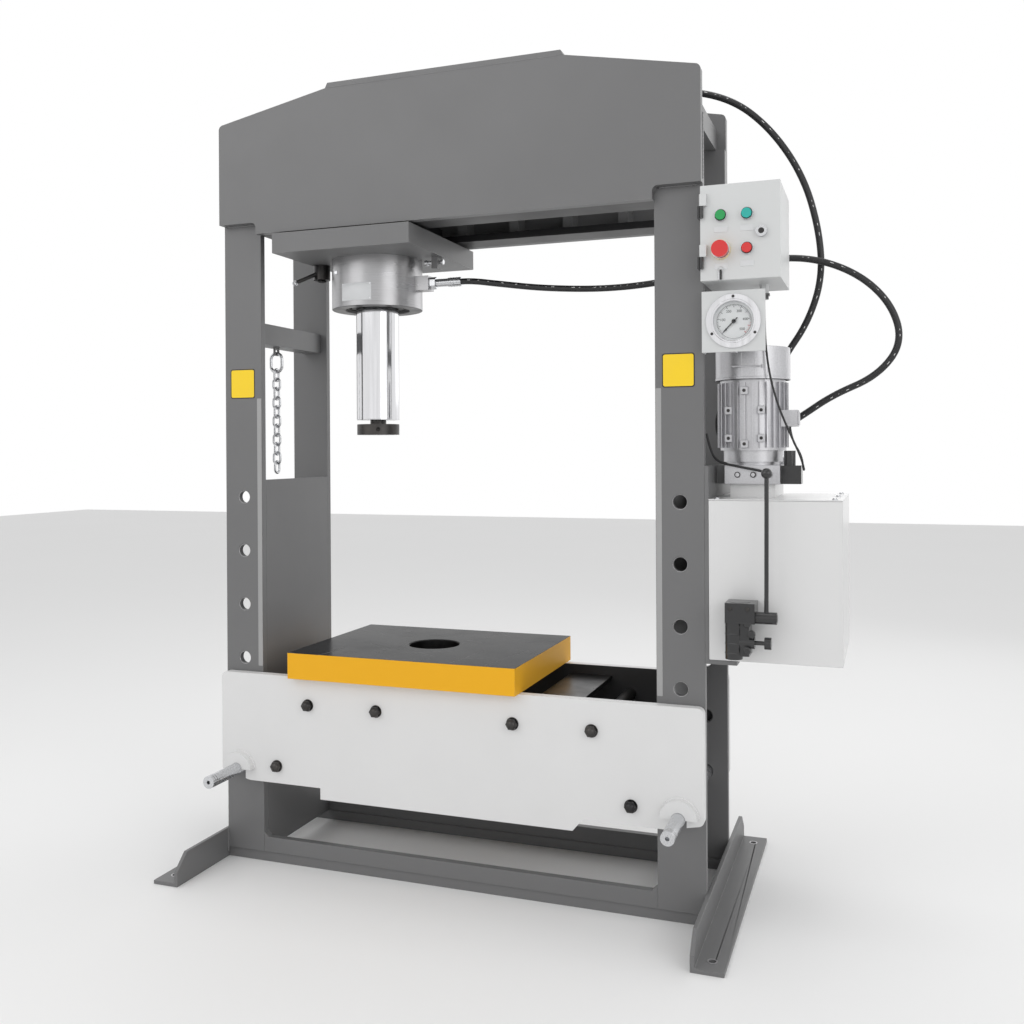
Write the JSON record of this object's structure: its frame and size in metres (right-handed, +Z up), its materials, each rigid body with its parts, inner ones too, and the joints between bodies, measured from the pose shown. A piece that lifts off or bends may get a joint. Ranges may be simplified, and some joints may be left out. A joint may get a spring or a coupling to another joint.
{
  "type": "hydraulic workshop press",
  "caption": "H-frame workshop press with a sliding cylinder, height-set table on two pins, side oil tank with motor, hand valve, gauge and switch box.",
  "frame": {"origin": "on the floor at the centre of the four anchor holes in the foot angles", "axes": "+X to the operator's right towards the oil tank, +Y to the back, +Z up"},
  "size_m": [1.8687, 0.83, 2.132],
  "materials": {
    "frame_paint": "satin grey paint",
    "table_paint": "satin light grey paint",
    "tank_paint": "satin white paint",
    "plate_paint": "amber paint with a milled dark top",
    "cylinder_paint": "gloss black paint",
    "motor_paint": "satin",
    "cowl": "satin",
    "barrel_metal": "satin turned",
    "bare_steel": "oiled",
    "ram_chrome": "hard chrome",
    "zinc": "zinc plated",
    "black_bolt": "blackened steel",
    "cast": "black",
    "box_paint": "fine texture light grey",
    "rubber_hose": "matt",
    "black_plastic": "gloss",
    "green_plastic": "gloss",
    "teal_plastic": "gloss",
    "red_plastic": "gloss",
    "bezel": "gloss",
    "gauge_chrome": "polished",
    "gauge_glass": "clear",
    "needle_red": "satin"
  },
  "bodies": {
    "frame": {"head_front_plate": "frame_paint", "head_back_plate": "frame_paint", "head_cap_plate": "frame_paint", "carriage_rails": "frame_paint", "head_stiffeners": "frame_paint", "left_front_pillar": "frame_paint", "left_back_pillar": "frame_paint", "right_front_pillar": "frame_paint", "right_back_pillar": "frame_paint", "side_panels": "frame_paint", "side_struts": "frame_paint", "base_beams": "frame_paint", "left_foot": "frame_paint", "right_foot": "frame_paint", "tank_bracket": "frame_paint", "oil_tank": "tank_paint", "tank_lid": "tank_paint", "oil_pump": "cast", "manifold_block": "bare_steel", "solenoid_valve": "black_plastic", "motor_body": "motor_paint", "fan_cowl": "cowl", "valve_body": "cylinder_paint", "control_box": "box_paint", "door_hinges": "black_bolt", "gauge_plate": "box_paint", "gauge_case": "gauge_chrome", "gauge_glass": "gauge_glass", "hose_fittings": "zinc", "hose_lower": "rubber_hose", "hose_upper": "rubber_hose", "motor_cable": "rubber_hose"},
    "carriage": {"carriage_plate": "frame_paint", "slide_block": "frame_paint", "cylinder_barrel": "barrel_metal", "cylinder_gland": "bare_steel", "port_fittings": "zinc"},
    "ram": {"piston_rod": "ram_chrome", "ram_pad": "black_bolt"},
    "left_clamp": {"left_clamp_handle": "black_bolt"},
    "right_clamp": {"right_clamp_handle": "zinc"},
    "table": {"table_front_plate": "table_paint", "table_back_plate": "table_paint", "table_spacers": "bare_steel", "table_bolts": "black_bolt", "press_plate": "plate_paint"},
    "left_pin": {"left_table_pin": "bare_steel"},
    "right_pin": {"right_table_pin": "bare_steel"},
    "chain": {"lifting_chain": "zinc"},
    "door": {"box_door": "box_paint", "button_bezels": "bezel"},
    "green": {"green_button": "green_plastic"},
    "teal": {"teal_button": "teal_plastic"},
    "red": {"red_button": "red_plastic"},
    "stop": {"stop_button": "red_plastic"},
    "lock": {"door_lock": "zinc"},
    "needle": {"gauge_needle": "needle_red"},
    "lever": {"valve_lever": "black_plastic"},
    "knob": {"release_knob": "black_plastic"},
    "rotor": {"motor_rotor": "bare_steel"}
  },
  "joints": [
    {"name": "carriage_slide", "type": "slide", "parent": "frame", "child": "carriage", "axis": [1, 0, 0], "range_m": [-0.04, 0.4], "deforming": ["hose_lower", "hose_upper"]},
    {"name": "ram_slide", "type": "slide", "parent": "carriage", "child": "ram", "axis": [0, 0, 1], "range_m": [0, 0.29]},
    {"name": "left_clamp_turn", "type": "hinge", "parent": "carriage", "child": "left_clamp", "pos_m": [-0.471, 0, 1.6626], "axis": [0, 0, 1], "range_deg": [-60, 30]},
    {"name": "right_clamp_turn", "type": "hinge", "parent": "carriage", "child": "right_clamp", "pos_m": [-0.113, 0, 1.67], "axis": [1, 0, 0], "continuous": true},
    {"name": "table_lift", "type": "slide", "parent": "frame", "child": "table", "axis": [0, 0, 1], "range_m": [0, 0.45]},
    {"name": "left_pin_slide", "type": "slide", "parent": "frame", "child": "left_pin", "axis": [0, -1, 0], "range_m": [0, 0.3]},
    {"name": "right_pin_slide", "type": "slide", "parent": "frame", "child": "right_pin", "axis": [0, -1, 0], "range_m": [0, 0.3]},
    {"name": "chain_swing", "type": "hinge", "parent": "frame", "child": "chain", "pos_m": [-0.605, -0.035, 1.43325], "axis": [1, 0, 0], "range_deg": [-20, 20]},
    {"name": "door_swing", "type": "hinge", "parent": "frame", "child": "door", "pos_m": [0.6765, -0.234, 1.6475], "axis": [0, 0, 1], "range_deg": [-100, 0]},
    {"name": "green_press", "type": "slide", "parent": "door", "child": "green", "axis": [0, 1, 0], "range_m": [0, 0.0035], "stiffness_N_per_m": 200},
    {"name": "teal_press", "type": "slide", "parent": "door", "child": "teal", "axis": [0, 1, 0], "range_m": [0, 0.0035], "stiffness_N_per_m": 200},
    {"name": "red_press", "type": "slide", "parent": "door", "child": "red", "axis": [0, 1, 0], "range_m": [0, 0.0035], "stiffness_N_per_m": 200},
    {"name": "stop_press", "type": "slide", "parent": "door", "child": "stop", "axis": [0, 1, 0], "range_m": [0, 0.0035], "stiffness_N_per_m": 400},
    {"name": "lock_turn", "type": "hinge", "parent": "door", "child": "lock", "pos_m": [0.814, -0.232, 1.643], "axis": [0, 1, 0], "range_deg": [0, 90]},
    {"name": "needle_turn", "type": "hinge", "parent": "frame", "child": "needle", "pos_m": [0.747, -0.209, 1.441], "axis": [0, 1, 0], "range_deg": [0, 200]},
    {"name": "lever_swing", "type": "hinge", "parent": "frame", "child": "lever", "pos_m": [0.8215, -0.235, 0.753], "axis": [1, 0, 0], "range_deg": [0, 60]},
    {"name": "knob_turn", "type": "hinge", "parent": "frame", "child": "knob", "pos_m": [0.8, -0.235, 0.695], "axis": [1, 0, 0], "range_deg": [-180, 180]},
    {"name": "rotor_spin", "type": "hinge", "parent": "frame", "child": "rotor", "pos_m": [0.767, -0.02, 1.23], "axis": [0, 0, 1], "continuous": true}
  ]
}
